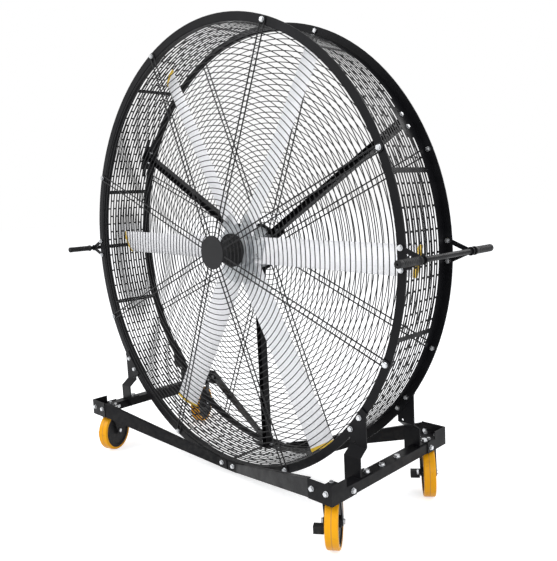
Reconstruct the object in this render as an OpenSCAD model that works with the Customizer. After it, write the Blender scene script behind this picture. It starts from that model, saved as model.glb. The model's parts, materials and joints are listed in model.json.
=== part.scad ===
// Large drum fan on a wheeled base. A perforated drum is held between two flanged
// rings with a wire guard on each face. A six-blade rotor turns on a motor in its
// middle, and a sheet-metal base with four swivel casters carries the drum.
// The floor is z = 0, the rotor axis runs along Y and the front faces -Y.

/* [Drum] */
// Height of the drum's lowest point above the floor
floor_gap = 56; // [50:1:70]
// Outer radius of the ring flanges
drum_r = 1000; // [960:5:1004]
// Depth of the drum over the outer faces of its flanges
drum_depth = 304; // [290:2:330]
// Radial width of a ring flange
flange_w = 36; // [32:1:40]
// Thickness of the ring sheet
flange_t = 4; // [3:0.5:5]
// Depth of the ring's inner leg
leg_depth = 22; // [16:1:26]
// Thickness of the drum wall
wall_t = 1.5; // [1:0.5:3]
// Number of wall panels around the drum
panel_count = 10; // [8:1:12]
// Width of the plain band over each panel joint
joint_band = 20; // [14:1:40]
// Land between the slots of one column
slot_land = 8; // [6:0.5:20]
// Width of a wall slot
slot_w = 9.5; // [5:0.5:10]
// Slots in one column of a panel
slots_per_column = 7; // [5:1:7]
// Slot columns across the drum
slot_columns = 14; // [8:1:14]
// Spacing of the slot columns
slot_pitch_y = 16.3; // [14:0.1:16.5]

/* [Wire guards] */
// Number of wire circles in a guard
guard_circles = 37; // [20:1:38]
// Radius of the smallest wire circle
guard_inner_r = 89; // [84:1:110]
// Distance of the outermost wire circle inside the ring's inner edge
guard_edge_gap = 7; // [6:0.5:60]
// Diameter of the circle wires
circle_wire_d = 4; // [3:0.5:6]
// Diameter of the spoke wires
spoke_wire_d = 6; // [4:0.5:7]
// Number of double spokes in a guard
spoke_count = 8; // [8:1:8]
// Distance between the two wires of a spoke
spoke_gap = 25; // [22:1:28]
// Angle by which a guard bulges outwards
guard_dish = 0.7; // [0.3:0.1:1.2]
// Radius of the round plate in the middle of a guard
hub_plate_r = 75; // [66:1:82]
// Thickness of that plate
hub_plate_t = 4; // [2:0.5:6]

/* [Rotor] */
// Number of blades
blade_count = 6; // [6:1:6]
// Chord of a blade
blade_chord = 121; // [100:1:124]
// Thickness of a blade
blade_t = 12; // [9:0.5:15]
// Arching of the blade section
blade_camber = 4; // [0:0.5:6]
// Wall of the hollow blade section
blade_wall = 2; // [1.2:0.2:3]
// Pitch of the blades
blade_pitch = 18; // [10:1:22]
// Angle of the first blade from +X, seen from the front
blade_start = -1.5; // [-30:0.5:30]
// Gap between the blade tips and the ring legs
tip_gap = 7; // [4:0.5:30]
// Length of a tip cap
tip_cap_l = 16; // [6:1:20]
// Radius of the motor and of the rotor hub
motor_r = 97; // [90:1:100]
// Front face of the rotor hub, from the drum's middle
hub_front_y = -52; // [-60:1:-44]
// Rear face of the rotor hub
hub_rear_y = 66; // [60:1:67]
// Radius of the cap on the front of the hub
cap_r = 76; // [60:1:86]
// Thickness of that cap
cap_t = 18; // [8:1:24]
// Radius of the motor shaft
shaft_r = 20; // [15:0.5:24]
// Radial running clearance of the bearings on the shaft
bearing_play = 0.03; // [0.02:0.01:0.08]
// Outer radius of a bearing
bearing_r = 37; // [32:1:42]
// Width of a bearing
bearing_w = 16; // [12:1:20]
// Radial length of a blade clamp
clamp_l = 62; // [50:1:80]
// Width of a blade clamp
clamp_w = 84; // [70:1:88]
// Thickness of a blade clamp
clamp_t = 32; // [28:1:36]

/* [Motor mount] */
// Front face of the stator
stator_front_y = 70; // [68:1:74]
// Front face of the mount plate
mount_y = 116; // [104:1:118]
// Thickness of the mount plate
mount_t = 8; // [5:1:10]
// Radius of the mount plate's round middle
mount_r = 110; // [102:1:125]
// Reach of the mount plate's arms
mount_arm_r = 180; // [165:1:220]
// Width of a mount arm
mount_arm_w = 50; // [40:1:60]
// Width of a motor strut
strut_w = 30; // [24:1:40]
// Depth of a motor strut along the axis
strut_d = 35; // [28:1:36]
// Sheet thickness of a motor strut
strut_wall = 3; // [2:0.5:4]
// Width of a strut foot around the drum
strut_foot_w = 76; // [68:1:84]

/* [Handles] */
// Distance of a handle's centreline outside the ring flange
handle_reach = 70; // [60:1:90]
// Diameter of the handle tube
handle_d = 20; // [18:0.5:26]
// Wall of the handle tube
handle_wall = 2; // [1.5:0.5:3]
// Length of the handle tube
handle_l = 580; // [540:2:620]
// Diameter of a grip
grip_d = 28; // [26:0.5:32]
// Gap between a handle bracket and the collar of its grip
grip_gap = 20; // [10:1:30]
// Width of a handle bracket arm
bracket_arm_w = 17; // [15:1:24]
// Thickness of a handle bracket
bracket_t = 4; // [3:0.5:6]
// Angle between the ring bolts of a handle bracket
bracket_angle = 4.4; // [3.6:0.2:5]

/* [Base frame] */
// Distance of a corner bracket's outer face from the drum's middle plane x = 0
base_half_w = 822; // [816:1:826]
// Distance of a corner bracket's end face from the plane y = 0
base_half_d = 371.5; // [368:0.5:380]
// Height of the underside of the base above the floor
base_z = 206; // [204:1:212]
// Height of the corner brackets
corner_h = 76; // [72:1:84]
// Width of a corner bracket
corner_w = 114; // [108:1:118]
// Sheet thickness of brackets and struts
sheet_t = 4; // [3:0.5:5]
// Width of a side beam
beam_w = 50; // [44:1:56]
// Height of a side beam
beam_h = 40; // [36:1:44]
// Wall of a side beam
beam_wall = 3; // [2:0.5:4]
// Distance from a corner bracket's end face to the end of its side beam
corner_reach = 101.5; // [101:0.5:108]
// Width of an upright
upright_w = 76; // [72:1:80]
// Thickness of an upright
upright_t = 6; // [4:0.5:8]
// Distance of an upright's lower half from the plane y = 0
upright_y = 192; // [186:1:196]
// How far an upright's plate reaches down beside its beam
upright_tail = 30; // [10:1:36]
// Width of a strut's folded top lip
lip_w = 18; // [12:1:20]

/* [Casters] */
// Diameter of a wheel
wheel_d = 200; // [190:1:200]
// Width of a wheel's tread
tread_w = 50; // [40:1:52]
// Thickness of the tread
tread_t = 12; // [8:1:16]
// Distance of the wheel's axle behind the swivel axis
trail = 30; // [26:1:40]
// Radius of the axle bolt
axle_r = 6; // [5:0.5:8]
// Radial running clearance in the wheel and round the kingpin
running_play = 0.05; // [0.02:0.01:0.08]
// Radius of the kingpin
kingpin_r = 8; // [6:0.5:10]
// Inner distance of a fork's leg from the middle of the wheel
leg_gap = 29; // [28:0.5:30]
// Thickness of a fork leg
leg_t = 5; // [4:0.5:5]
// Reach of a brake pedal's pad beyond its leg
pedal_reach = 33; // [24:1:36]
// Directions in which the wheels trail, front left, front right, rear left, rear right
trail_directions = [112, 124, 298, 307]; // [0:1:360]

/* [Fasteners] */
// Radius of the ring bolts
bolt_r = 5; // [4:0.5:5]
// Radius of the beam bolts
beam_bolt_r = 6; // [5:0.5:6]
// Radius of the small bolts in blades, strut feet and caster plates
small_bolt_r = 4; // [3:0.5:4]
// Radial clearance of a bolt in its hole
hole_play = 0.3; // [0.2:0.1:0.5]

/* [Hidden] */

// Gaps between pieces
touch = 0.1;
clear = 0.3;
over = 1;

// Drum and rings
axis_z = drum_r + floor_gap;
face_y = drum_depth / 2;
ring_in_r = drum_r - flange_w;
ring_leg_t = 3;
ring_bend = 4;
wall_r = ring_in_r + ring_leg_t + 0.2;
wall_out_r = wall_r + wall_t;
panel_angle = 360 / panel_count;
seam_gap = 0.4;
first_seam = -90;
panel_arc = 2 * PI * wall_out_r / panel_count;
slot_field = panel_arc - joint_band;
slot_pitch = (slot_field + slot_land) / slots_per_column;
slot_l = slot_pitch - slot_land;
slot_mid_y = -3;
bolt_circle_r = drum_r - flange_w / 2 + 1;
function arc_angle(length, radius) = length / radius * 180 / PI;

// Guards
guard_outer_r = ring_in_r - guard_edge_gap;
wire_sides = 8;
spoke_r = spoke_wire_d / 2;
spoke_foot_y = face_y + spoke_r + 0.2;
first_spoke = 180 / spoke_count;
spoke_end_r = hub_plate_r - 14;
guard_plate_y = spoke_y(spoke_end_r) + spoke_r + touch;
function spoke_y(r) = spoke_foot_y + (bolt_circle_r - r) * tan(guard_dish);
function circle_y(r) = spoke_y(r) - spoke_r - circle_wire_d / 2 - 0.2;

// Rotor
tip_r = ring_in_r - tip_gap;
blade_end_r = tip_r - tip_cap_l;
blade_root_r = motor_r + 8;
blade_points = 30;
clamp_start_r = motor_r * 0.8;
clamp_end_r = motor_r + clamp_l;
clamp_front = -blade_camber - clamp_t / 2;
blade_low = -blade_t / 2 - blade_camber;
blade_high = blade_t > 4 * blade_camber ? blade_t / 2 - blade_camber : pow(blade_t / 4, 2) / blade_camber;
blade_bolt_spread = 26;
bearing_front_y = hub_front_y + 18;
bearing_rear_y = hub_rear_y - bearing_w - 4;
fin_depth = 5;
fin_w = 4;
fin_pitch = 9;

// Motor mount
strut_angles = [30, 150, 270];
strut_start_r = motor_r + 3;
strut_y = mount_y - strut_d;
foot_t = 3;
foot_r = wall_r - 0.2;
foot_mid_y = mount_y - strut_d / 2;
foot_bolt_spread = 27;
mount_bolt_r = (mount_arm_r + mount_r) / 2 + 10;
shaft_end_y = mount_y + mount_t + 12;

// Handles
handle_x = drum_r + handle_reach;
handle_r = handle_d / 2;
collar_r = grip_d / 2 + 2;
collar_w = 8;
grip_end_t = 12;
grip_start_y = face_y + bracket_t + grip_gap + collar_w;
grip_l = handle_l / 2 + grip_end_t - grip_start_y;
bracket_ring_r = handle_r + 6;

// Base frame
base_top = base_z + corner_h;
beam_x = base_half_w - sheet_t - beam_w / 2;
beam_top = base_z + beam_h;
beam_l = 2 * (base_half_d - corner_reach);
corner_in_x = base_half_w - corner_w;
swivel_inset_x = 52;
swivel_inset_y = 60;
swivel_x = base_half_w - swivel_inset_x;
swivel_y = base_half_d - swivel_inset_y;
shelf_in_x = swivel_x - 34;
shelf_out_y = base_half_d - 19;
tongue_h = beam_h + 4;
tongue_in_y = beam_l / 2 - 34;
tongue_bolt_y = beam_l / 2 - 14;
tongue_bolt_z = base_z + beam_h / 2;
side_plate_in_y = beam_l / 2 + 20;
shelf_in_y = beam_l / 2 + 1;
strut_top = base_top - sheet_t;
end_bolt_xs = [corner_in_x + 20, base_half_w - 26];
end_bolt_z = base_z + 42;
upright_edge = 6;
upright_x = base_half_w - sheet_t - upright_edge - upright_w / 2;
upright_left_x = upright_x - upright_w / 2;
beam_end_gap = 5;
upright_foot_l = beam_l / 2 - beam_end_gap - upright_y;
upright_bolt_share = 0.7;
upright_bolt_l = upright_t + upright_bolt_share * (upright_foot_l - upright_t);
function upright_foot_y(rear) = rear ? upright_y : upright_y + upright_t - upright_foot_l;
function upright_bolt_y(rear) = rear ? upright_y + upright_bolt_l : upright_y + upright_t - upright_bolt_l;
beam_mid_bolt_y = 50;
beam_bolt_x = beam_x + 6;
upright_edge_z = axis_z - sqrt(pow(drum_r, 2) - pow(upright_left_x, 2));
upright_plate_z = upright_edge_z - 28;
joggle_h = 30;
upright_angle = -acos((upright_x - 12) / bolt_circle_r);
upright_bolt_angle = 3.9;
upright_sector = 8.4;
tie_hole_x = upright_x - 16;
tie_hole_z = upright_plate_z + 10;

// Ring feet and diagonal struts
ring_foot_half_w = 60;
ring_foot_z = axis_z - drum_r - 12;
ring_foot_top = axis_z - ring_in_r + 2;
foot_bolt_angle = 4.4;
foot_tab_in_x = 6;
strut_tab_y = face_y + sheet_t;
diag_low_z = ring_foot_z + 4;
diag_low_h = ring_foot_top - 4 - diag_low_z;
diag_low = [ring_foot_half_w, strut_tab_y + sheet_t];
diag_high = [corner_in_x - 3, base_half_d - sheet_t];
diag_angle = atan2(diag_high[1] - diag_low[1], diag_high[0] - diag_low[0]);
lip_share = (lip_w + 6) / (diag_high[1] - diag_low[1]);

// Casters
sides = [[-1, -1], [1, -1], [-1, 1], [1, 1]];
brake_sides = [1, 1, -1, -1];
wheel_r = wheel_d / 2;
core_r = wheel_r - tread_t;
plate_t = 6;
plate_top = beam_top - sheet_t;
plate_under = plate_top - plate_t;
plate_w = 64;
plate_d = 72;
plate_bolt_x = 24;
plate_bolt_y = 26;
race_r = 27;
race_t = 8;
crown_top = plate_under - race_t - clear;
crown_t = 14;
crown_r = 36;
crown_under = crown_top - crown_t;
kingpin_head_r = 13;
kingpin_head_h = 5.7;
leg_half_w = 19;
leg_eye_r = 17;
leg_out = leg_gap + leg_t;
pedal_eye_r = 13;
pedal_eye_t = 6;
pedal_gap = 0.3;
pedal_pad_h = 30;
pedal_pad_l = 28;
pedal_pad_x = 12;
pedal_pad_drop = 3;
axle_head_h = 7;

// Colours
frame_black = [0.13, 0.13, 0.14];
guard_black = [0.16, 0.16, 0.17];
zinc = [0.75, 0.76, 0.78];
silver = [0.82, 0.84, 0.86];
tread_yellow = [0.95, 0.68, 0.1];
cap_yellow = [0.93, 0.78, 0.1];
rubber_black = [0.07, 0.07, 0.08];
steel = [0.62, 0.63, 0.65];

// A profile of radius and y, turned about the rotor axis
module spun() {
    translate([0, 0, axis_z]) rotate([-90, 0, 0]) rotate_extrude($fn = 180) children();
}

// The same over part of a turn, centred on a direction from +X
module spun_sector(angle, width) {
    at_angle(angle) rotate([-90, 0, 0]) rotate([0, 0, -width / 2])
        rotate_extrude(angle = width, $fn = 180) children();
}

// Local X points outwards at an angle from +X, local Y stays along the axis
module at_angle(angle) {
    translate([0, 0, axis_z]) rotate([0, -angle, 0]) children();
}

module front_and_rear() {
    children();
    mirror([0, 1, 0]) children();
}

module left_and_right() {
    children();
    mirror([1, 0, 0]) children();
}

module four_corners() {
    left_and_right() front_and_rear() children();
}

// A cylinder along Y between two values of y
module rod_y(radius, y_from, y_to) {
    translate([0, y_from, 0]) rotate([-90, 0, 0]) cylinder(r = radius, h = y_to - y_from, $fn = 64);
}

// A hexagon bolt with washer and nut. Z = 0 is the top of what it clamps.
module bolt(radius, grip) {
    washer_t = 2;
    nut_h = radius * 1.6;
    difference() {
        cylinder(r = radius * 2.1, h = washer_t, $fn = 48);
        translate([0, 0, -over]) cylinder(r = radius, h = washer_t + 2 * over, $fn = 32);
    }
    translate([0, 0, washer_t]) cylinder(r = radius * 1.9, h = radius * 1.28, $fn = 6);
    translate([0, 0, -grip - nut_h - 1]) cylinder(r = radius, h = grip + nut_h + 1 + washer_t + over, $fn = 32);
    translate([0, 0, -grip - nut_h]) cylinder(r = radius * 1.9, h = nut_h, $fn = 6);
}

// A bolt hole along Z through what lies within a reach of Z = 0
module bolt_hole(radius, reach = 20) {
    translate([0, 0, -reach]) cylinder(r = radius + hole_play, h = 2 * reach, $fn = 32);
}

// Places children at each bolt of a ring, local Z pointing to the rear
module on_ring_bolts(angles) {
    for (angle = angles) {
        at_angle(angle) translate([bolt_circle_r, face_y, 0]) rotate([-90, 0, 0]) children();
    }
}

guard_bolt_angles = [for (k = [0 : spoke_count - 1]) first_spoke + k * 360 / spoke_count];
upright_bolt_angles = [for (side = [upright_angle, 180 - upright_angle])
    for (step = [-0.5, 0.5]) side + step * upright_bolt_angle];
handle_bolt_angles = [for (side = [0, 180]) for (step = [-0.5, 0.5]) side + step * bracket_angle];
foot_bolt_angles = [for (step = [-0.5, 0.5]) -90 + step * foot_bolt_angle];

// Drum wall
module slot(length) {
    translate([0, -slot_w / 2, -length / 2]) cube([wall_t + 6, slot_w, length]);
}

function near_strut_foot(angle, y) =
    y > strut_y - 16 && y < mount_y + 16
    && min([for (a = strut_angles) abs((angle - a + 540) % 360 - 180)])
        < arc_angle(strut_foot_w / 2 + slot_l / 2, wall_out_r);

module slot_at(panel_mid, offset, y, length) {
    angle = panel_mid + arc_angle(offset, wall_out_r);
    if (!near_strut_foot(angle, y)) {
        at_angle(angle) translate([wall_r - 3, y, 0]) slot(length);
    }
}

module wall_panel(panel_mid) {
    half_slot = (slot_l - slot_land) / 2;
    difference() {
        spun_sector(panel_mid, panel_angle - arc_angle(seam_gap, wall_out_r))
            translate([wall_r, -face_y + flange_t]) square([wall_t, drum_depth - 2 * flange_t]);
        for (column = [0 : slot_columns - 1]) {
            y = slot_mid_y + (column - (slot_columns - 1) / 2) * slot_pitch_y;
            staggered = column % 2;
            for (j = [0 : slots_per_column - 1 - staggered]) {
                offset = (j - (slots_per_column - 1 - staggered) / 2) * slot_pitch;
                slot_at(panel_mid, offset, y, slot_l);
            }
            if (staggered == 1) {
                for (end = [-1, 1]) slot_at(panel_mid, end * (slot_field - half_slot) / 2, y, half_slot);
            }
        }
        for (angle = strut_angles) strut_foot_bolts(angle) bolt_hole(small_bolt_r);
    }
}

module drum_shell() {
    color(frame_black) for (k = [0 : panel_count - 1]) {
        wall_panel(first_seam + (k + 0.5) * panel_angle);
    }
}

// Flanged rings
module ring_profile() {
    difference() {
        union() {
            translate([ring_in_r, face_y - flange_t]) square([flange_w, flange_t]);
            translate([ring_in_r, face_y - leg_depth]) square([ring_leg_t, leg_depth]);
        }
        difference() {
            translate([ring_in_r - over, face_y - ring_bend]) square([ring_bend + over, ring_bend + over]);
            translate([ring_in_r + ring_bend, face_y - ring_bend]) circle(r = ring_bend, $fn = 48);
        }
    }
}

module flanged_ring() {
    difference() {
        spun() ring_profile();
        on_ring_bolts(concat(guard_bolt_angles, upright_bolt_angles, handle_bolt_angles, foot_bolt_angles))
            bolt_hole(bolt_r);
    }
}

module front_ring() {
    color(frame_black) mirror([0, 1, 0]) flanged_ring();
}

module rear_ring() {
    color(frame_black) flanged_ring();
}

// Wire guards
module guard_circles() {
    for (k = [0 : guard_circles - 1]) {
        r = guard_inner_r + k * (guard_outer_r - guard_inner_r) / (guard_circles - 1);
        translate([0, circle_y(r), axis_z]) rotate([-90, 0, 0]) rotate_extrude($fn = 180)
            translate([r, 0]) circle(d = circle_wire_d, $fn = wire_sides);
    }
}

module hairpin_spoke() {
    length = bolt_circle_r - spoke_end_r;
    translate([bolt_circle_r, spoke_foot_y, 0]) rotate([0, 0, -guard_dish]) {
        rotate([90, 0, 0]) rotate([0, 0, -90]) rotate_extrude(angle = 180, $fn = 96)
            translate([spoke_gap / 2, 0]) circle(r = spoke_r, $fn = 24);
        for (side = [-1, 1]) {
            translate([-length, 0, side * spoke_gap / 2]) rotate([0, 90, 0])
                cylinder(r = spoke_r, h = length, $fn = 24);
        }
    }
}

module guard_spokes() {
    for (angle = guard_bolt_angles) at_angle(angle) hairpin_spoke();
}

module front_guard_circles() {
    color(guard_black) mirror([0, 1, 0]) guard_circles();
}

module rear_guard_circles() {
    color(guard_black) guard_circles();
}

module front_guard_spokes() {
    color(guard_black) mirror([0, 1, 0]) guard_spokes();
}

module rear_guard_spokes() {
    color(guard_black) guard_spokes();
}

module guard_hub_plates() {
    edge_r = hub_plate_t / 3;
    color(guard_black) front_and_rear() spun() difference() {
        translate([0, guard_plate_y]) square([hub_plate_r, hub_plate_t]);
        translate([hub_plate_r - edge_r, guard_plate_y + hub_plate_t - edge_r]) difference() {
            square([edge_r + over, edge_r + over]);
            circle(r = edge_r, $fn = 32);
        }
    }
}

// The bolt stands in the bend of each hairpin and its washer holds both wires
module guard_bolts() {
    color(zinc) front_and_rear() on_ring_bolts(guard_bolt_angles)
        translate([0, 0, spoke_wire_d + 0.5]) bolt(bolt_r, flange_t + spoke_wire_d + 0.5);
}

// Motor mount and struts
module strut_foot_bolts(angle) {
    at_angle(angle) for (side = [-1, 1]) {
        rotate([0, side * arc_angle(foot_bolt_spread, wall_r), 0])
            translate([wall_out_r, foot_mid_y, 0]) rotate([0, 90, 0]) children();
    }
}

module mount_bolts() {
    for (angle = strut_angles) {
        at_angle(angle) translate([mount_bolt_r, mount_y + mount_t, 0]) rotate([-90, 0, 0]) children();
    }
}

module strut(angle) {
    difference() {
        union() {
            intersection() {
                at_angle(angle) translate([strut_start_r, strut_y, -strut_w / 2]) difference() {
                    cube([foot_r - strut_start_r, strut_d, strut_w]);
                    translate([-over, -over, strut_wall])
                        cube([drum_r, strut_d - strut_wall + over, strut_w - 2 * strut_wall]);
                }
                spun() translate([0, strut_y - over]) square([foot_r - foot_t / 2, strut_d + 2 * over]);
            }
            spun_sector(angle, arc_angle(strut_foot_w, foot_r))
                translate([foot_r - foot_t, strut_y - 8]) square([foot_t, strut_d + 16]);
        }
        strut_foot_bolts(angle) bolt_hole(small_bolt_r);
        mount_bolts() bolt_hole(bolt_r);
    }
}

module strut_right() {
    color(frame_black) strut(strut_angles[0]);
}

module strut_left() {
    color(frame_black) strut(strut_angles[1]);
}

module strut_bottom() {
    color(frame_black) strut(strut_angles[2]);
}

module motor_mount() {
    color(frame_black) difference() {
        union() {
            spun() translate([0, mount_y]) square([mount_r, mount_t]);
            for (angle = strut_angles) {
                at_angle(angle) translate([0, mount_y, -mount_arm_w / 2])
                    cube([mount_arm_r, mount_t, mount_arm_w]);
            }
        }
        translate([0, 0, axis_z]) rod_y(shaft_r + touch, mount_y - over, mount_y + mount_t + over);
        mount_bolts() bolt_hole(bolt_r);
    }
}

// A finned round body between two values of y
module finned_profile(y_from, y_to) {
    count = floor((y_to - y_from - 8) / fin_pitch);
    start = (y_from + y_to - count * fin_pitch + fin_w) / 2;
    difference() {
        translate([0, y_from]) square([motor_r, y_to - y_from]);
        for (k = [0 : count - 1]) {
            translate([motor_r - fin_depth, start + k * fin_pitch]) square([fin_depth + over, fin_w]);
        }
    }
}

module motor_stator() {
    color(silver) difference() {
        spun() finned_profile(stator_front_y, mount_y);
        translate([0, 0, axis_z]) rod_y(shaft_r + touch, stator_front_y - over, mount_y + over);
    }
}

module motor_shaft() {
    nut_r = shaft_r * 1.5;
    color(steel) translate([0, 0, axis_z]) {
        rod_y(shaft_r, bearing_front_y + 1, shaft_end_y);
        translate([0, mount_y + mount_t, 0]) rotate([-90, 0, 0]) cylinder(r = nut_r, h = 9, $fn = 6);
    }
}

// Rotor
module rotor_hub() {
    color(silver) difference() {
        spun() finned_profile(hub_front_y, hub_rear_y);
        translate([0, 0, axis_z]) rod_y(bearing_r, bearing_front_y, hub_rear_y + over);
    }
}

module motor_cap() {
    edge_r = 5;
    color(rubber_black) spun() {
        difference() {
            translate([0, hub_front_y - cap_t]) square([cap_r, cap_t]);
            translate([cap_r - edge_r, hub_front_y - cap_t - over]) square([edge_r + over, edge_r + over]);
        }
        intersection() {
            translate([cap_r - edge_r, hub_front_y - cap_t + edge_r]) circle(r = edge_r, $fn = 48);
            translate([0, hub_front_y - cap_t]) square([cap_r + over, edge_r]);
        }
    }
}

module bearings() {
    color(steel) translate([0, 0, axis_z]) for (y = [bearing_front_y, bearing_rear_y]) difference() {
        rod_y(bearing_r - 0.02, y, y + bearing_w);
        rod_y(shaft_r + bearing_play, y - over, y + bearing_w + over);
    }
}

// Blade section with its chord along the second axis, grown by a margin
function section_points(margin) = [for (i = [0 : blade_points - 1])
    let (a = i * 360 / blade_points)
    [
        (blade_t / 2 + margin) * sin(a) - blade_camber * pow(sin(a), 2),
        (blade_chord / 2 + margin) * cos(a)
    ]];

module blade_section(margin) {
    polygon(section_points(margin));
}

module hollow_section() {
    web_offset = blade_chord / 6;
    difference() {
        blade_section(0);
        difference() {
            blade_section(-blade_wall);
            for (side = [-1, 1]) translate([-blade_t, side * web_offset - blade_wall / 2])
                square([2 * blade_t, blade_wall]);
        }
    }
}

// Local X along the blade, with the section pitched
module along_blade(k) {
    at_angle(blade_start + k * 360 / blade_count) rotate([-blade_pitch, 0, 0]) children();
}

module extrude_x(x_from, x_to) {
    translate([x_from, 0, 0]) rotate([90, 0, 90]) linear_extrude(height = x_to - x_from) children();
}

module on_blade_bolts(k) {
    bolt_x = (blade_root_r + clamp_end_r) / 2 + 3;
    along_blade(k) for (side = [-1, 1]) {
        translate([bolt_x, clamp_front, side * blade_bolt_spread]) rotate([90, 0, 0]) children();
    }
}

module blade(k) {
    color(silver) difference() {
        along_blade(k) extrude_x(blade_root_r, blade_end_r) hollow_section();
        on_blade_bolts(k) bolt_hole(small_bolt_r, clamp_t + 4);
    }
}

module blade_1() { blade(0); }
module blade_2() { blade(1); }
module blade_3() { blade(2); }
module blade_4() { blade(3); }
module blade_5() { blade(4); }
module blade_6() { blade(5); }

module blade_clamps() {
    color(silver) for (k = [0 : blade_count - 1]) difference() {
        along_blade(k) translate([clamp_start_r, clamp_front, -clamp_w / 2])
            cube([clamp_end_r - clamp_start_r, clamp_t, clamp_w]);
        along_blade(k) translate([blade_root_r - touch, blade_low - touch, -clamp_w / 2 - over])
            cube([clamp_l, blade_high - blade_low + 2 * touch, clamp_w + 2 * over]);
        translate([0, 0, axis_z]) rod_y(motor_r + touch, -drum_depth / 2, drum_depth / 2);
        on_blade_bolts(k) bolt_hole(small_bolt_r, clamp_t + 4);
    }
}

module blade_bolts() {
    color(zinc) for (k = [0 : blade_count - 1]) on_blade_bolts(k) bolt(small_bolt_r, clamp_t);
}

module blade_tip_caps() {
    color(cap_yellow) for (k = [0 : blade_count - 1]) {
        along_blade(k) extrude_x(blade_end_r, tip_r) blade_section(1);
    }
}

// Handles
module handle_right() {
    color(frame_black) translate([handle_x, 0, axis_z]) difference() {
        rod_y(handle_r, -handle_l / 2, handle_l / 2);
        rod_y(handle_r - handle_wall, -handle_l / 2 - over, handle_l / 2 + over);
    }
}

module handle_left() {
    mirror([1, 0, 0]) handle_right();
}

module grip() {
    grip_r = grip_d / 2;
    end_hole_r = 4;
    edge_r = 3;
    difference() {
        translate([0, grip_start_y]) union() {
            square([grip_r, grip_l - edge_r]);
            square([grip_r - edge_r, grip_l]);
            translate([grip_r - edge_r, grip_l - edge_r]) circle(r = edge_r, $fn = 32);
            translate([0, -collar_w]) square([collar_r, collar_w]);
        }
        translate([-over, grip_start_y - collar_w - over])
            square([handle_r + touch + over, handle_l / 2 + clear - grip_start_y + collar_w + over]);
        translate([-over, grip_start_y]) square([end_hole_r + over, grip_l + over]);
    }
}

module handle_grips() {
    color(rubber_black) left_and_right() front_and_rear() translate([handle_x, 0, axis_z])
        rotate([-90, 0, 0]) rotate_extrude($fn = 64) grip();
}

// A flat bar with round ends between two points of the plane
module flat_bar(from, to, width) {
    run = norm(to - from);
    translate(from) rotate(atan2(to[1] - from[1], to[0] - from[0])) {
        translate([0, -width / 2]) square([run, width]);
        circle(d = width, $fn = 48);
        translate([run, 0]) circle(d = width, $fn = 48);
    }
}

module handle_bracket() {
    half = bracket_angle / 2;
    ring_points = [for (side = [-1, 1]) [bolt_circle_r * cos(half), side * bolt_circle_r * sin(half)]];
    translate([0, face_y + bracket_t, axis_z]) rotate([90, 0, 0]) linear_extrude(height = bracket_t)
        difference() {
            union() {
                for (p = ring_points) flat_bar(p, [handle_x, 0], bracket_arm_w);
                translate([handle_x, 0]) circle(r = bracket_ring_r, $fn = 64);
            }
            translate([handle_x, 0]) circle(r = handle_r + touch, $fn = 64);
            for (p = ring_points) translate(p) circle(r = bolt_r + hole_play, $fn = 32);
        }
}

module handle_brackets() {
    color(frame_black) four_corners() handle_bracket();
}

// Base frame
module side_beam_right() {
    color(frame_black) difference() {
        translate([beam_x - beam_w / 2, -beam_l / 2, base_z]) cube([beam_w, beam_l, beam_h]);
        translate([beam_x - beam_w / 2 + beam_wall, -beam_l / 2 - over, base_z + beam_wall])
            cube([beam_w - 2 * beam_wall, beam_l + 2 * over, beam_h - 2 * beam_wall]);
        for (y = [-upright_bolt_y(false), -beam_mid_bolt_y, beam_mid_bolt_y, upright_bolt_y(true)]) {
            translate([beam_bolt_x, y, beam_top]) bolt_hole(beam_bolt_r);
        }
        for (y = [-tongue_bolt_y, tongue_bolt_y]) {
            translate([base_half_w, y, tongue_bolt_z]) rotate([0, 90, 0])
                bolt_hole(bolt_r, beam_w + 2 * sheet_t);
        }
    }
}

module side_beam_left() {
    mirror([1, 0, 0]) side_beam_right();
}

// A folded corner: end plate, side plate with a tongue on the beam, and a shelf
// inside them that carries the caster
module corner_bracket() {
    plate_w_x = base_half_w - corner_in_x;
    difference() {
        union() {
            translate([shelf_in_x, shelf_in_y, beam_top - sheet_t])
                cube([base_half_w - shelf_in_x, shelf_out_y - shelf_in_y, sheet_t]);
            translate([corner_in_x, base_half_d - sheet_t, base_z]) cube([plate_w_x, sheet_t, corner_h]);
            translate([base_half_w - sheet_t, side_plate_in_y, base_z])
                cube([sheet_t, base_half_d - side_plate_in_y, corner_h]);
            translate([base_half_w - sheet_t, tongue_in_y, base_z])
                cube([sheet_t, side_plate_in_y - tongue_in_y + over, tongue_h]);
        }
        corner_bolts();
    }
}

module on_plate_bolts() {
    for (sx = [-1, 1]) for (sy = [-1, 1]) {
        translate([swivel_x + sx * plate_bolt_x, swivel_y + sy * plate_bolt_y, beam_top]) children();
    }
}

module on_end_bolts() {
    for (x = end_bolt_xs) translate([x, base_half_d, end_bolt_z]) rotate([-90, 0, 0]) children();
}

module on_tongue_bolt() {
    translate([base_half_w, tongue_bolt_y, tongue_bolt_z]) rotate([0, 90, 0]) children();
}

module corner_bolts() {
    on_plate_bolts() bolt_hole(small_bolt_r);
    on_end_bolts() bolt_hole(bolt_r);
    on_tongue_bolt() bolt_hole(bolt_r);
}

module corner_brackets() {
    color(frame_black) four_corners() corner_bracket();
}

// A strut bent from sheet: a tab at the corner, a web that slopes down to the ring
// foot, a tab there, and a lip on the web's top edge folded towards the drum
module diagonal_strut() {
    intersection() {
        linear_extrude(height = 2 * base_top) diag_plan();
        along_y() diag_elevation();
    }
    intersection() {
        linear_extrude(height = 2 * base_top) lip_plan();
        along_y() lip_elevation();
    }
}

module along_y() {
    translate([0, base_half_d, 0]) rotate([90, 0, 0]) linear_extrude(height = base_half_d) children();
}

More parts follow.
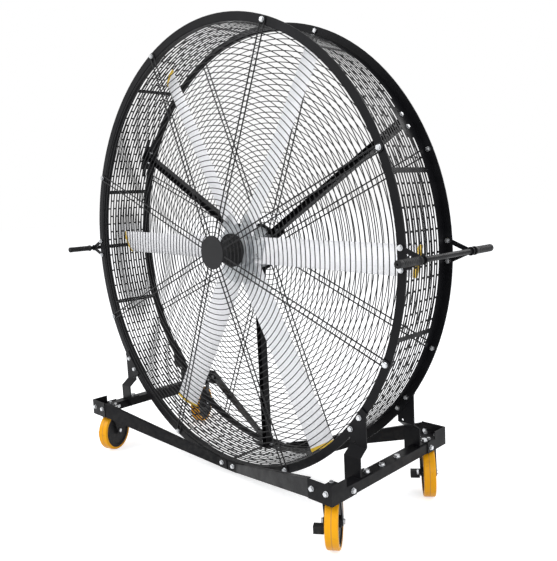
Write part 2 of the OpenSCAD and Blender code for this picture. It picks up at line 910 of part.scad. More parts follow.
// The bent sheet seen from above
module diag_plan() {
    mitre = sheet_t * (1 / cos(diag_angle) - 1) / tan(diag_angle);
    tab_end_x = beam_x + beam_w / 2 - 13;
    polygon([
        [foot_tab_in_x, diag_low[1]],
        diag_low,
        diag_high,
        [tab_end_x, diag_high[1]],
        [tab_end_x, diag_high[1] - sheet_t],
        diag_high + [mitre, -sheet_t],
        diag_low + [mitre, -sheet_t],
        [foot_tab_in_x, diag_low[1] - sheet_t]
    ]);
}

module diag_elevation() {
    tab_end_x = beam_x + beam_w / 2 - 13;
    polygon([
        [foot_tab_in_x, diag_low_z],
        [diag_low[0], diag_low_z],
        [diag_high[0], base_z],
        [tab_end_x, base_z],
        [tab_end_x, strut_top],
        [diag_high[0], strut_top],
        [diag_low[0], diag_low_z + diag_low_h],
        [foot_tab_in_x, diag_low_z + diag_low_h]
    ]);
}

module lip_plan() {
    inwards = lip_w * [sin(diag_angle), -cos(diag_angle)];
    along = diag_high - diag_low;
    lip_start = diag_low + along * lip_share;
    polygon([lip_start, diag_high, diag_high + inwards, lip_start + inwards]);
}

module lip_elevation() {
    top_from = diag_low_z + diag_low_h;
    start_x = diag_low[0] + (diag_high[0] - diag_low[0]) * lip_share;
    start_top = top_from + (strut_top - top_from) * lip_share;
    polygon([
        [start_x, start_top - sheet_t],
        [diag_high[0], strut_top - sheet_t],
        [diag_high[0], strut_top],
        [start_x, start_top]
    ]);
}

module diagonal_struts() {
    color(frame_black) four_corners() difference() {
        diagonal_strut();
        corner_bolts();
        on_ring_bolts(foot_bolt_angles) bolt_hole(bolt_r);
    }
}

module ring_foot_plates() {
    color(frame_black) front_and_rear() difference() {
        translate([-ring_foot_half_w, face_y, ring_foot_z])
            cube([2 * ring_foot_half_w, sheet_t, ring_foot_top - ring_foot_z]);
        on_ring_bolts(foot_bolt_angles) bolt_hole(bolt_r);
    }
}

// An upright: a foot on the beam and a tail beside it, a lower plate, a joggle towards
// the drum and an upper plate that follows the ring flange. All four feet point back.
module upright(rear) {
    joggle_z = upright_plate_z - joggle_h;
    beam_in_x = beam_x - beam_w / 2;
    bent = [
        [upright_y + upright_t, beam_top],
        [upright_y + upright_t, joggle_z],
        [face_y + upright_t, upright_plate_z],
        [face_y + upright_t, upright_plate_z + over],
        [face_y, upright_plate_z + over],
        [face_y, upright_plate_z],
        [upright_y, joggle_z],
        [upright_y, beam_top]
    ];
    difference() {
        union() {
            extrude_x(upright_left_x, upright_left_x + upright_w) polygon(bent);
            translate([beam_in_x, upright_foot_y(rear), beam_top])
                cube([upright_left_x + upright_w - beam_in_x, upright_foot_l, upright_t]);
            translate([upright_left_x, upright_y, beam_top - upright_tail])
                cube([beam_in_x - clear - upright_left_x, upright_t, upright_tail + over]);
            translate([0, face_y + upright_t, 0]) rotate([90, 0, 0]) linear_extrude(height = upright_t)
                upright_plate();
        }
        on_ring_bolts(upright_bolt_angles) bolt_hole(bolt_r);
        translate([tie_hole_x, face_y, tie_hole_z]) rotate([90, 0, 0]) bolt_hole(bolt_r);
        translate([beam_bolt_x, upright_bolt_y(rear), beam_top]) bolt_hole(beam_bolt_r);
    }
}

// Outline of an upright's upper plate, seen along the axis
module upright_plate() {
    ring_half = upright_sector / 2;
    plate_h = axis_z - upright_plate_z;
    translate([0, axis_z]) difference() {
        union() {
            translate([upright_left_x, -plate_h]) square([upright_w, plate_h]);
            intersection() {
                circle(r = drum_r, $fn = 180);
                polygon([
                    [0, 0],
                    2 * drum_r * [cos(upright_angle - ring_half), sin(upright_angle - ring_half)],
                    2 * drum_r * [cos(upright_angle + ring_half), sin(upright_angle + ring_half)]
                ]);
            }
        }
        circle(r = ring_in_r + 3, $fn = 180);
        rotate(upright_angle + ring_half) square([2 * drum_r, 2 * drum_r]);
    }
}

module uprights() {
    color(frame_black) left_and_right() {
        upright(true);
        mirror([0, 1, 0]) upright(false);
    }
}

module frame_bolts() {
    color(zinc) {
        left_and_right() {
            for (y = [-beam_mid_bolt_y, beam_mid_bolt_y]) {
                translate([beam_bolt_x, y, beam_top]) bolt(beam_bolt_r, beam_wall);
            }
            for (y = [-upright_bolt_y(false), upright_bolt_y(true)]) {
                translate([beam_bolt_x, y, beam_top + upright_t]) bolt(beam_bolt_r, beam_wall + upright_t);
            }
        }
        four_corners() {
            on_plate_bolts() bolt(small_bolt_r, sheet_t + plate_t);
            on_end_bolts() bolt(bolt_r, 2 * sheet_t);
            on_tongue_bolt() bolt(bolt_r, sheet_t + beam_w);
        }
        front_and_rear() {
            on_ring_bolts(upright_bolt_angles) translate([0, 0, upright_t]) bolt(bolt_r, upright_t + flange_t);
            on_ring_bolts(handle_bolt_angles) translate([0, 0, bracket_t]) bolt(bolt_r, bracket_t + flange_t);
            on_ring_bolts(foot_bolt_angles) translate([0, 0, 2 * sheet_t]) bolt(bolt_r, 2 * sheet_t + flange_t);
        }
        for (angle = strut_angles) strut_foot_bolts(angle) bolt(small_bolt_r, wall_out_r - foot_r + foot_t);
        mount_bolts() bolt(bolt_r, mount_t + strut_wall);
    }
}

// Casters
module caster_plates() {
    kingpin_bottom = crown_under - clear - kingpin_head_h;
    color(zinc) for (side = sides) translate([side[0] * swivel_x, side[1] * swivel_y, 0]) {
        difference() {
            translate([-plate_w / 2, -plate_d / 2, plate_under]) cube([plate_w, plate_d, plate_t]);
            for (sx = [-1, 1]) for (sy = [-1, 1]) {
                translate([sx * plate_bolt_x, sy * plate_bolt_y, plate_under]) bolt_hole(small_bolt_r);
            }
        }
        translate([0, 0, plate_under - race_t]) cylinder(r = race_r, h = race_t + over, $fn = 64);
        translate([0, 0, kingpin_bottom])
            cylinder(r = kingpin_r, h = plate_under - kingpin_bottom, $fn = 48);
        translate([0, 0, kingpin_bottom]) cylinder(r = kingpin_head_r, h = kingpin_head_h, $fn = 48);
    }
}

// Local X is the direction in which the wheel trails, the swivel axis is local Z
module at_caster(i) {
    translate([sides[i][0] * swivel_x, sides[i][1] * swivel_y, 0]) rotate([0, 0, trail_directions[i]])
        children();
}

// Origin in the middle of the wheel, with the brake on the side of local +Y
module at_wheel(i) {
    at_caster(i) translate([trail, 0, wheel_r]) {
        if (brake_sides[i] < 0) mirror([0, 1, 0]) children();
        else children();
    }
}

module fork_leg() {
    shoulder_z = base_z - wheel_r;
    top_z = crown_under + 8 - wheel_r;
    outline = [
        [-trail - leg_half_w, top_z],
        [-trail + leg_half_w, top_z],
        [-trail + leg_half_w, shoulder_z],
        [leg_eye_r - 2, leg_eye_r / 2],
        [-leg_eye_r / 2, -leg_eye_r * 0.87],
        [-trail - leg_half_w, shoulder_z - 10]
    ];
    rotate([90, 0, 0]) linear_extrude(height = leg_t) {
        polygon(outline);
        circle(r = leg_eye_r, $fn = 64);
    }
}

module fork(i) {
    color(frame_black) difference() {
        union() {
            at_caster(i) translate([0, 0, crown_under]) cylinder(r = crown_r, h = crown_t, $fn = 64);
            at_wheel(i) translate([0, leg_out, 0]) fork_leg();
            at_wheel(i) translate([0, -leg_gap, 0]) fork_leg();
        }
        at_caster(i) translate([0, 0, crown_under - over])
            cylinder(r = kingpin_r + running_play, h = crown_t + 2 * over, $fn = 48);
        at_wheel(i) rod_y(axle_r + running_play, -leg_out - over, leg_out + over);
    }
}

module axle(i) {
    pedal_side = leg_out + 2 * pedal_gap + pedal_eye_t;
    color(steel) at_wheel(i) {
        rod_y(axle_r, -leg_out - over, pedal_side + over);
        translate([0, pedal_side, 0]) rotate([-90, 0, 0]) cylinder(r = axle_r * 1.7, h = axle_head_h, $fn = 6);
        translate([0, -leg_out - axle_head_h, 0]) rotate([-90, 0, 0])
            cylinder(r = axle_r * 1.7, h = axle_head_h, $fn = 6);
    }
}

module wheel_core(i) {
    hub_r = 22;
    rim_t = 10;
    web_t = 36;
    hub_half = leg_gap - clear;
    bore_r = axle_r + running_play;
    color(rubber_black) at_wheel(i) rotate([-90, 0, 0]) rotate_extrude($fn = 120) {
        translate([bore_r, -hub_half]) square([hub_r - bore_r, 2 * hub_half]);
        translate([hub_r - over, -web_t / 2]) square([core_r - hub_r, web_t]);
        translate([core_r - rim_t, -tread_w / 2 + 2]) square([rim_t - touch, tread_w - 4]);
    }
}

module tread(i) {
    shoulder = tread_t / 2;
    color(tread_yellow) at_wheel(i) rotate([-90, 0, 0]) rotate_extrude($fn = 120) union() {
        translate([core_r, -tread_w / 2]) square([tread_t - shoulder, tread_w]);
        translate([core_r, -tread_w / 2 + shoulder]) square([tread_t, tread_w - 2 * shoulder]);
        for (side = [-1, 1]) translate([wheel_r - shoulder, side * (tread_w / 2 - shoulder)])
            circle(r = shoulder, $fn = 48);
    }
}

// A pedal that turns on the axle bolt beside its leg
module pedal(i) {
    inner_y = leg_out + pedal_gap;
    color(rubber_black) at_wheel(i) difference() {
        union() {
            rod_y(pedal_eye_r, inner_y, inner_y + pedal_eye_t);
            translate([-pedal_pad_x, inner_y, -pedal_eye_r]) cube([pedal_pad_x, pedal_eye_t, pedal_eye_r]);
            translate([-pedal_pad_x - pedal_pad_l, inner_y, -pedal_pad_drop - pedal_pad_h])
                cube([pedal_pad_l, pedal_eye_t + pedal_reach, pedal_pad_h]);
        }
        rod_y(axle_r + running_play, 0, inner_y + pedal_reach);
    }
}

module fork_fl() { fork(0); }
module fork_fr() { fork(1); }
module fork_rl() { fork(2); }
module fork_rr() { fork(3); }
module axle_fl() { axle(0); }
module axle_fr() { axle(1); }
module axle_rl() { axle(2); }
module axle_rr() { axle(3); }
module wheel_core_fl() { wheel_core(0); }
module wheel_core_fr() { wheel_core(1); }
module wheel_core_rl() { wheel_core(2); }
module wheel_core_rr() { wheel_core(3); }
module tread_fl() { tread(0); }
module tread_fr() { tread(1); }
module tread_rl() { tread(2); }
module tread_rr() { tread(3); }
module pedal_fl() { pedal(0); }
module pedal_fr() { pedal(1); }
module pedal_rl() { pedal(2); }
module pedal_rr() { pedal(3); }

drum_shell();
front_ring();
rear_ring();
front_guard_circles();
rear_guard_circles();
front_guard_spokes();
rear_guard_spokes();
guard_hub_plates();
guard_bolts();
motor_mount();
strut_right();
strut_left();
strut_bottom();
motor_stator();
motor_shaft();
rotor_hub();
motor_cap();
bearings();
blade_clamps();
blade_bolts();
blade_tip_caps();
blade_1();
blade_2();
blade_3();
blade_4();
blade_5();
blade_6();
handle_left();
handle_right();
handle_grips();
handle_brackets();
side_beam_left();
side_beam_right();
corner_brackets();
diagonal_struts();
uprights();
ring_foot_plates();
frame_bolts();
caster_plates();
fork_fl();
fork_fr();
fork_rl();
fork_rr();
axle_fl();
axle_fr();
axle_rl();
axle_rr();
wheel_core_fl();
wheel_core_fr();
wheel_core_rl();
wheel_core_rr();
tread_fl();
tread_fr();
tread_rl();
tread_rr();
pedal_fl();
pedal_fr();
pedal_rl();
pedal_rr();
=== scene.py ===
import json
from math import cos, pi, sin

import bpy
from mathutils import Matrix, Vector


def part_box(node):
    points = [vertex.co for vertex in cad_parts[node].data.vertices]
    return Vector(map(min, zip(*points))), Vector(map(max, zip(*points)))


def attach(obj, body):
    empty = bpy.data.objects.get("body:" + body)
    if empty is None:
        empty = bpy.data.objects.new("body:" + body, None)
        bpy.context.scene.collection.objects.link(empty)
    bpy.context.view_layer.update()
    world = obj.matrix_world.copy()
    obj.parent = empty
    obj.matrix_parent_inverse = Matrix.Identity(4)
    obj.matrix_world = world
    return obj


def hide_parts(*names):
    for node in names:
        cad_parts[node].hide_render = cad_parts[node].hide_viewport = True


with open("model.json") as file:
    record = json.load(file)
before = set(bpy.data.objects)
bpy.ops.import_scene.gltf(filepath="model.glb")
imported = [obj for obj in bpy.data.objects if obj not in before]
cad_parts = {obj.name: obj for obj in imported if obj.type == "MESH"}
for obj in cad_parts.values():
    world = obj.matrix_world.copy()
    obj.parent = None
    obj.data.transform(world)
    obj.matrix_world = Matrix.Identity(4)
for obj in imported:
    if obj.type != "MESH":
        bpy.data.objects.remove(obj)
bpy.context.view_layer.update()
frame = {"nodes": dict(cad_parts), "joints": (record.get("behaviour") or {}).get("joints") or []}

nodes = frame["nodes"]
corners = ("fl", "fr", "rl", "rr")
blade_count = 6
blade_start = -0.026

# Camera, matched to the photograph
camera_place = Vector((2.2363, -1.9673, 1.2781))
camera_yaw = 0.7942
camera_pitch = -0.1259
camera_roll = -0.0499
camera_lens = 41.84
sensor_width = 36


def make_camera():
    forward = Vector((-sin(camera_yaw), cos(camera_yaw), 0)) * cos(camera_pitch)
    forward.z = sin(camera_pitch)
    level = Vector((cos(camera_yaw), sin(camera_yaw), 0))
    upright = level.cross(forward)
    right = cos(camera_roll) * level + sin(camera_roll) * upright
    up = -sin(camera_roll) * level + cos(camera_roll) * upright
    data = bpy.data.cameras.new("camera")
    data.lens = camera_lens
    data.sensor_width = sensor_width
    data.sensor_fit = "HORIZONTAL"
    camera = bpy.data.objects.new("camera", data)
    turn = Matrix((right, up, -forward)).transposed().to_4x4()
    camera.matrix_world = Matrix.Translation(camera_place) @ turn
    bpy.context.collection.objects.link(camera)
    bpy.context.scene.camera = camera


# Light
white = (1, 1, 1, 1)
ambient_colour = (0.95, 0.97, 1.0, 1)
ambient_strength = 0.82
lamp_target = Vector((0, 0, 1))


def soft_light(name, place, size, power):
    """A round lamp that faces the middle of the fan."""
    data = bpy.data.lights.new(name, "AREA")
    data.shape = "DISK"
    data.size = size
    data.energy = power
    lamp = bpy.data.objects.new(name, data)
    lamp.location = place
    lamp.rotation_euler = (lamp_target - Vector(place)).to_track_quat("-Z", "Y").to_euler()
    bpy.context.collection.objects.link(lamp)


def math_node(tree, operation, first, second=None):
    """The result of a Math node. The second input is a socket or a number."""
    node = tree.nodes.new("ShaderNodeMath")
    node.operation = operation
    tree.links.new(first, node.inputs[0])
    if isinstance(second, bpy.types.NodeSocket):
        tree.links.new(second, node.inputs[1])
    elif second is not None:
        node.inputs[1].default_value = second
    return node.outputs[0]


def sees_background(tree):
    """1 for camera, glossy and transmission rays, and 0 for the rest."""
    path = tree.nodes.new("ShaderNodeLightPath")
    rays = path.outputs["Is Camera Ray"]
    for name in ("Is Glossy Ray", "Is Transmission Ray"):
        rays = math_node(tree, "MAXIMUM", rays, path.outputs[name])
    return rays


def background(tree, colour, strength):
    node = tree.nodes.new("ShaderNodeBackground")
    node.inputs["Color"].default_value = colour
    node.inputs["Strength"].default_value = strength
    return node.outputs[0]


def make_world():
    """Soft light from all sides, and plain white for the rays that see the background."""
    world = bpy.data.worlds.new("studio")
    bpy.context.scene.world = world
    world.use_nodes = True
    tree = world.node_tree
    tree.nodes.clear()
    mix = tree.nodes.new("ShaderNodeMixShader")
    tree.links.new(sees_background(tree), mix.inputs[0])
    tree.links.new(background(tree, ambient_colour, ambient_strength), mix.inputs[1])
    tree.links.new(background(tree, white, 1.0), mix.inputs[2])
    output = tree.nodes.new("ShaderNodeOutputWorld")
    tree.links.new(mix.outputs[0], output.inputs["Surface"])


# Materials
class Finish:
    """A node material. Patterns are laid out in metres of the object's own frame."""

    def __init__(self, name, roughness, metallic=0.0, specular=0.5):
        self.material = bpy.data.materials.new(name)
        self.material.use_nodes = True
        self.tree = self.material.node_tree
        self.shader = self.tree.nodes["Principled BSDF"]
        self.shader.inputs["Metallic"].default_value = metallic
        self.shader.inputs["Roughness"].default_value = roughness
        self.shader.inputs["Specular IOR Level"].default_value = specular
        self.place = self.tree.nodes.new("ShaderNodeTexCoord").outputs["Object"]

    def turned(self, rotation, stretch):
        """Coordinates turned, then stretched."""
        turn = self.tree.nodes.new("ShaderNodeVectorRotate")
        turn.rotation_type = "EULER_XYZ"
        turn.inputs["Rotation"].default_value = rotation
        self.tree.links.new(self.place, turn.inputs["Vector"])
        scale = self.tree.nodes.new("ShaderNodeVectorMath")
        scale.operation = "MULTIPLY"
        scale.inputs[1].default_value = stretch
        self.tree.links.new(turn.outputs[0], scale.inputs[0])
        return scale.outputs[0]

    def noise(self, scale, detail, place=None):
        node = self.tree.nodes.new("ShaderNodeTexNoise")
        node.inputs["Scale"].default_value = scale
        node.inputs["Detail"].default_value = detail
        self.tree.links.new(place or self.place, node.inputs["Vector"])
        return node.outputs["Fac"]

    def patches(self, scale, detail, start, full, most=1):
        """0 where a noise is below start, rising to most where it reaches full."""
        return self.between(self.noise(scale, detail), start, full, 0, most)

    def grains(self, scale):
        """Cells of one grey each."""
        cells = self.tree.nodes.new("ShaderNodeTexVoronoi")
        cells.inputs["Scale"].default_value = scale
        self.tree.links.new(self.place, cells.inputs["Vector"])
        grey = self.tree.nodes.new("ShaderNodeRGBToBW")
        self.tree.links.new(cells.outputs["Color"], grey.inputs[0])
        return grey.outputs[0]

    def height(self):
        """Height above the floor at rest."""
        node = self.tree.nodes.new("ShaderNodeSeparateXYZ")
        self.tree.links.new(self.place, node.inputs[0])
        return node.outputs["Z"]

    def off_plane(self, normal, offset):
        """Distance from the plane across a normal, with its offset along that normal."""
        along = self.tree.nodes.new("ShaderNodeVectorMath")
        along.operation = "DOT_PRODUCT"
        along.inputs[1].default_value = normal
        self.tree.links.new(self.place, along.inputs[0])
        beyond = math_node(self.tree, "SUBTRACT", along.outputs["Value"], offset)
        return math_node(self.tree, "ABSOLUTE", beyond)

    def between(self, value, low, high, to_low, to_high):
        """Turns the range from low to high into the range from to_low to to_high, and stops at its ends."""
        node = self.tree.nodes.new("ShaderNodeMapRange")
        for socket, number in zip(node.inputs[1:5], (low, high, to_low, to_high)):
            socket.default_value = number
        self.tree.links.new(value, node.inputs["Value"])
        return node.outputs["Result"]

    def blend(self, value, first, second):
        """Colour from first to second, each a colour or a socket."""
        node = self.tree.nodes.new("ShaderNodeMix")
        node.data_type = "RGBA"
        self.tree.links.new(value, node.inputs["Factor"])
        for socket, colour in zip((node.inputs[6], node.inputs[7]), (first, second)):
            if isinstance(colour, tuple):
                socket.default_value = (*colour, 1)
            else:
                self.tree.links.new(colour, socket)
        return node.outputs[2]

    def colour(self, value, first, second):
        self.tree.links.new(self.blend(value, first, second), self.shader.inputs["Base Color"])

    def roughness(self, pattern, low, high):
        """Roughness from low to high over the middle of a noise's range."""
        wander = self.between(pattern, 0.3, 0.7, low, high)
        self.tree.links.new(wander, self.shader.inputs["Roughness"])

    def bump(self, pattern, distance, strength):
        node = self.tree.nodes.new("ShaderNodeBump")
        node.inputs["Strength"].default_value = strength
        node.inputs["Distance"].default_value = distance
        self.tree.links.new(pattern, node.inputs["Height"])
        self.tree.links.new(node.outputs[0], self.shader.inputs["Normal"])


coat_roughness = 0.4
dust_top = 0.34
dust_share = 0.5
dust_colour = (0.04, 0.038, 0.035)


def powder_coat(name, dark, worn, specular):
    """Satin powder coat: orange-peel bump, rubbed patches and dust low on the fan."""
    finish = Finish(name, coat_roughness, specular=specular)
    rubbed = finish.patches(scale=7, detail=6, start=0.55, full=0.78)
    low_down = finish.between(finish.height(), 0, dust_top, dust_share, 0)
    dust = finish.patches(scale=38, detail=4, start=0.42, full=0.7)
    dusty = math_node(finish.tree, "MULTIPLY", low_down, dust)
    finish.colour(dusty, finish.blend(rubbed, dark, worn), dust_colour)
    uneven = finish.noise(scale=16, detail=4)
    finish.roughness(uneven, low=coat_roughness - 0.08, high=coat_roughness + 0.12)
    finish.bump(finish.noise(scale=640, detail=2), distance=0.0003, strength=0.35)
    return finish.material


def zinc_plate():
    finish = Finish("zinc", 0.28, metallic=0.92)
    finish.colour(finish.grains(scale=170), (0.5, 0.51, 0.53), (0.76, 0.77, 0.78))
    finish.roughness(finish.noise(scale=90, detail=3), low=0.2, high=0.42)
    finish.bump(finish.noise(scale=700, detail=2), distance=0.0002, strength=0.3)
    return finish.material


def turned_steel():
    """Steel with fine lines across Y."""
    finish = Finish("steel", 0.3, metallic=0.95)
    rings = finish.noise(scale=3, detail=2, place=finish.turned((0, 0, 0), (20, 260, 20)))
    finish.colour(rings, (0.42, 0.43, 0.45), (0.66, 0.67, 0.69))
    finish.roughness(rings, low=0.22, high=0.4)
    finish.bump(rings, distance=0.0001, strength=0.4)
    return finish.material


def cast_aluminium():
    """Silver motor casting with a fine sand grain and darker patches."""
    finish = Finish("silver_casting", 0.42, metallic=0.55)
    dull = finish.patches(scale=24, detail=5, start=0.4, full=0.75)
    finish.colour(dull, (0.62, 0.64, 0.66), (0.45, 0.47, 0.49))
    finish.roughness(finish.noise(scale=60, detail=3), low=0.34, high=0.54)
    finish.bump(finish.noise(scale=420, detail=3), distance=0.0005, strength=0.4)
    return finish.material


def extruded_aluminium(index):
    """Pale anodised extrusion with die lines that run along the blade."""
    finish = Finish("blade_aluminium_%d" % (index + 1), 0.34, metallic=0.04, specular=0.4)
    angle = blade_start + index * 2 * pi / blade_count
    along = finish.turned((0, angle, 0), (1.2, 90, 90))
    lines = finish.noise(scale=4, detail=4, place=along)
    tone = finish.blend(lines, (0.93, 0.93, 0.965), (1.0, 0.995, 1.0))
    smudge = finish.patches(scale=9, detail=5, start=0.52, full=0.8, most=0.4)
    finish.colour(smudge, tone, (0.86, 0.865, 0.89))
    finish.roughness(lines, low=0.26, high=0.42)
    finish.bump(lines, distance=0.0002, strength=0.3)
    return finish.material


def moulded_rubber():
    finish = Finish("black_plastic", 0.55, specular=0.2)
    scuff = finish.patches(scale=45, detail=5, start=0.5, full=0.8)
    finish.colour(scuff, (0.012, 0.012, 0.013), (0.032, 0.031, 0.03))
    finish.roughness(finish.noise(scale=120, detail=3), low=0.45, high=0.68)
    finish.bump(finish.noise(scale=900, detail=2), distance=0.0004, strength=0.4)
    return finish.material


def cap_plastic():
    finish = Finish("cap_yellow", 0.36)
    finish.colour(finish.noise(scale=60, detail=4), (0.8, 0.48, 0.03), (0.9, 0.64, 0.07))
    finish.roughness(finish.noise(scale=150, detail=3), low=0.28, high=0.48)
    finish.bump(finish.noise(scale=800, detail=2), distance=0.0002, strength=0.3)
    return finish.material


# The moulding line round a tread: half its width, where it has faded out, and its strength
line_r = 0.0012
line_fade_r = 0.0026
line_share = 0.6


def polyurethane(corner):
    """Orange-yellow tread with a moulding line round its middle and darker patches of dirt."""
    roll = next(joint for joint in frame["joints"] if joint["name"] == "roll_" + corner)
    axle = Vector(roll["axis"])
    finish = Finish("tread_yellow_" + corner, 0.32, specular=0.16)
    tone = finish.blend(finish.noise(scale=14, detail=3), (0.76, 0.3, 0.004), (0.86, 0.42, 0.008))
    dirt = finish.patches(scale=55, detail=6, start=0.56, full=0.8, most=0.55)
    worn = finish.blend(dirt, tone, (0.42, 0.19, 0.02))
    off_middle = finish.off_plane(axle, axle.dot(Vector(roll["pos_m"])))
    line = finish.between(off_middle, line_r, line_fade_r, line_share, 0)
    finish.colour(line, worn, (0.45, 0.2, 0.06))
    finish.roughness(finish.noise(scale=80, detail=4), low=0.26, high=0.5)
    finish.bump(finish.noise(scale=500, detail=3), distance=0.0003, strength=0.3)
    return finish.material


floor_glow = 0.62


def white_floor():
    """Pale floor that takes the shadow and also glows for the rays that see the background."""
    finish = Finish("floor", 0.9, specular=0.0)
    finish.colour(finish.noise(scale=2, detail=2), (0.72, 0.72, 0.72), (0.74, 0.74, 0.74))
    tree = finish.tree
    glow = tree.nodes.new("ShaderNodeEmission")
    glow.inputs["Color"].default_value = white
    strength = math_node(tree, "MULTIPLY", sees_background(tree), floor_glow)
    tree.links.new(strength, glow.inputs["Strength"])
    both = tree.nodes.new("ShaderNodeAddShader")
    tree.links.new(finish.shader.outputs[0], both.inputs[0])
    tree.links.new(glow.outputs[0], both.inputs[1])
    tree.links.new(both.outputs[0], tree.nodes["Material Output"].inputs["Surface"])
    return finish.material


def paint_nodes(material, names):
    for name in names:
        node = nodes[name]
        for slot in node.material_slots:
            slot.material = material
        if not node.material_slots:
            node.data.materials.append(material)


def add_piece(name, data, body, replaced, material):
    data.materials.append(material)
    piece = bpy.data.objects.new(name, data)
    bpy.context.collection.objects.link(piece)
    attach(piece, body)
    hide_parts(replaced)


# Wire guards: curves with eight sides, shaded smooth
wire_count = 37
wire_inner_r = 0.089
wire_r = 0.002
wire_points = 160
wire_resolution = 2


def guard_wires(face, material):
    """Wire circles that bulge outwards towards the middle of the guard."""
    node = face + "_guard_circles"
    low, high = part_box(node)
    outer_r = (high[0] - low[0]) / 2 - wire_r
    axis_z = (high[2] + low[2]) / 2
    inner_y, outer_y = low[1] + wire_r, high[1] - wire_r
    if face == "rear":
        inner_y, outer_y = outer_y, inner_y
    curve = bpy.data.curves.new(face + "_guard_wires", "CURVE")
    curve.dimensions = "3D"
    curve.bevel_depth = wire_r
    curve.bevel_resolution = wire_resolution
    for k in range(wire_count):
        share = k / (wire_count - 1)
        radius = wire_inner_r + share * (outer_r - wire_inner_r)
        y = inner_y + share * (outer_y - inner_y)
        spline = curve.splines.new("POLY")
        spline.points.add(wire_points - 1)
        spline.use_cyclic_u = True
        for i, point in enumerate(spline.points):
            angle = 2 * pi * i / wire_points
            point.co = (radius * cos(angle), y, axis_z + radius * sin(angle), 1)
    add_piece(face + "_guard_wires", curve, "frame", node, material)


# Rubber grips with a rounded outer end and shallow finger rings
grip_length = 0.118
grip_r = 0.014
grip_segments = 48
tube_r = 0.010
tube_gap = 0.0001
collar_r = 0.016
collar_w = 0.008
collar_edge = 0.001
ring_count = 9
ring_depth = 0.0009
ring_points = 8
plain_start = 0.012
plain_end = 0.018
end_hole_r = 0.004
end_wall = 0.0115
end_round = 0.004
end_points = 6


def grip_profile(start, end):
    """Radius and y round the rubber, from the collar at start to the end wall with its small hole."""
    way = 1 if end > start else -1
    bore_r = tube_r + tube_gap
    bore_end = end - way * end_wall
    collar_end = start + way * collar_w
    profile = [
        (bore_r, start),
        (collar_r - collar_edge, start),
        (collar_r, start + way * collar_edge),
        (collar_r, start + way * (collar_w - collar_edge)),
        (collar_r - collar_edge, collar_end),
        (grip_r, collar_end)]
    first = start + way * (collar_w + plain_start)
    last = end - way * plain_end
    steps = ring_count * ring_points
    for i in range(steps + 1):
        share = i / steps
        dip = ring_depth * (0.5 - 0.5 * cos(2 * pi * ring_count * share))
        profile.append((grip_r - dip, first + share * (last - first)))
    for i in range(end_points + 1):
        angle = pi / 2 * i / end_points
        profile.append((grip_r - end_round * (1 - cos(angle)), end - way * end_round * (1 - sin(angle))))
    profile += [(end_hole_r, end), (end_hole_r, bore_end), (bore_r, bore_end)]
    return profile if way > 0 else profile[::-1]


def lathe(profile, x, z, offset):
    """Corners and faces, numbered from offset, of (radius, y) points turned about an axis along Y."""
    verts, faces = [], []
    count = len(profile)
    for i in range(grip_segments):
        angle = 2 * pi * i / grip_segments
        verts += [(x + r * cos(angle), y, z + r * sin(angle)) for r, y in profile]
        here = offset + i * count
        there = offset + (i + 1) % grip_segments * count
        for j in range(count):
            k = (j + 1) % count
            faces.append((here + j, here + k, there + k, there + j))
    return verts, faces


def handle_grips(material):
    low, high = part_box("handle_grips")
    axis_z = (high[2] + low[2]) / 2
    end = high[1]
    start = end - grip_length - collar_w
    verts, faces = [], []
    for x in (low[0] + collar_r, high[0] - collar_r):
        for way in (-1, 1):
            profile = grip_profile(way * start, way * end)
            grip_verts, grip_faces = lathe(profile, x, axis_z, len(verts))
            verts += grip_verts
            faces += grip_faces
    mesh = bpy.data.meshes.new("rubber_grips")
    mesh.from_pydata(verts, [], faces)
    for polygon in mesh.polygons:
        polygon.use_smooth = True
    add_piece("rubber_grips", mesh, "frame", "handle_grips", material)


# Rounded edges, in metres, and the angle in radians from which an edge counts as sharp
pedal_edge = 0.003
sheet_edge = 0.001
edge_steps = 2
sharp_angle = 0.9


def soften(names, width):
    """Rounds the sharp edges of sheet and block pieces a little."""
    for name in names:
        modifier = nodes[name].modifiers.new("soft_edges", "BEVEL")
        modifier.width = width
        modifier.segments = edge_steps
        modifier.limit_method = "ANGLE"
        modifier.angle_limit = sharp_angle


# The scene
floor_reach = 40


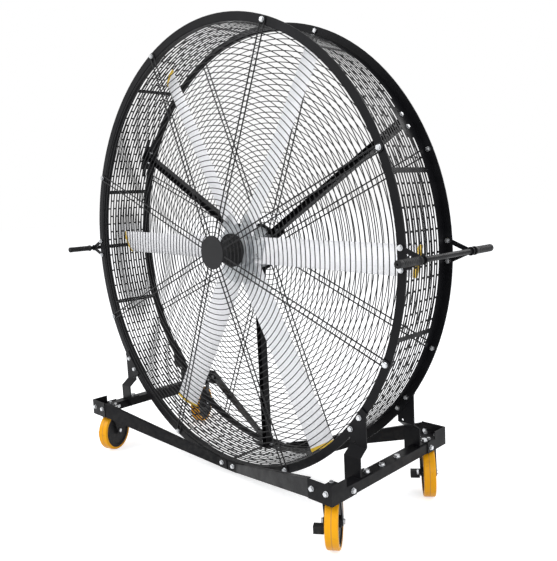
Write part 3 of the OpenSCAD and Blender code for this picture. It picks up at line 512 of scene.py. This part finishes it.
def make_floor():
    low, high = -floor_reach, floor_reach
    mesh = bpy.data.meshes.new("floor")
    mesh.from_pydata([(low, low, 0), (high, low, 0), (high, high, 0), (low, high, 0)], [], [(0, 1, 2, 3)])
    mesh.materials.append(white_floor())
    floor = bpy.data.objects.new("floor", mesh)
    bpy.context.collection.objects.link(floor)


def at_corners(name):
    return [name + corner for corner in corners]


frame_black = powder_coat("frame_black", (0.005, 0.005, 0.006), (0.011, 0.011, 0.0125), 0.11)
guard_black = powder_coat("guard_black", (0.008, 0.008, 0.009), (0.016, 0.016, 0.017), 0.24)
zinc = zinc_plate()
steel = turned_steel()
casting = cast_aluminium()
rubber = moulded_rubber()
sheet_pieces = [
    "side_beam_left", "side_beam_right", "diagonal_struts", "uprights", "corner_brackets",
    "handle_brackets"]

paint_nodes(frame_black, sheet_pieces + at_corners("fork_") + [
    "drum_shell", "front_ring", "rear_ring", "ring_foot_plates", "motor_mount", "strut_right",
    "strut_left", "strut_bottom", "handle_left", "handle_right"])
paint_nodes(guard_black, ["front_guard_spokes", "rear_guard_spokes", "guard_hub_plates"])
paint_nodes(zinc, ["guard_bolts", "frame_bolts", "blade_bolts", "caster_plates"])
paint_nodes(steel, ["motor_shaft", "bearings"] + at_corners("axle_"))
paint_nodes(casting, ["motor_stator", "rotor_hub", "blade_clamps"])
paint_nodes(rubber, ["motor_cap"] + at_corners("wheel_core_") + at_corners("pedal_"))
paint_nodes(cap_plastic(), ["blade_tip_caps"])
for corner in corners:
    paint_nodes(polyurethane(corner), ["tread_" + corner])
for k in range(blade_count):
    paint_nodes(extruded_aluminium(k), ["blade_%d" % (k + 1)])

for face in ("front", "rear"):
    guard_wires(face, guard_black)
handle_grips(rubber)
soften(at_corners("pedal_"), pedal_edge)
soften(sheet_pieces, sheet_edge)

make_floor()
make_world()
make_camera()
soft_light("key", (-1.8, -4.6, 4.4), size=3.0, power=165)
soft_light("fill", (4.6, -2.2, 2.8), size=2.6, power=70)
soft_light("back", (1.5, 4.8, 3.6), size=3.0, power=80)
bpy.context.scene.view_settings.view_transform = "Standard"
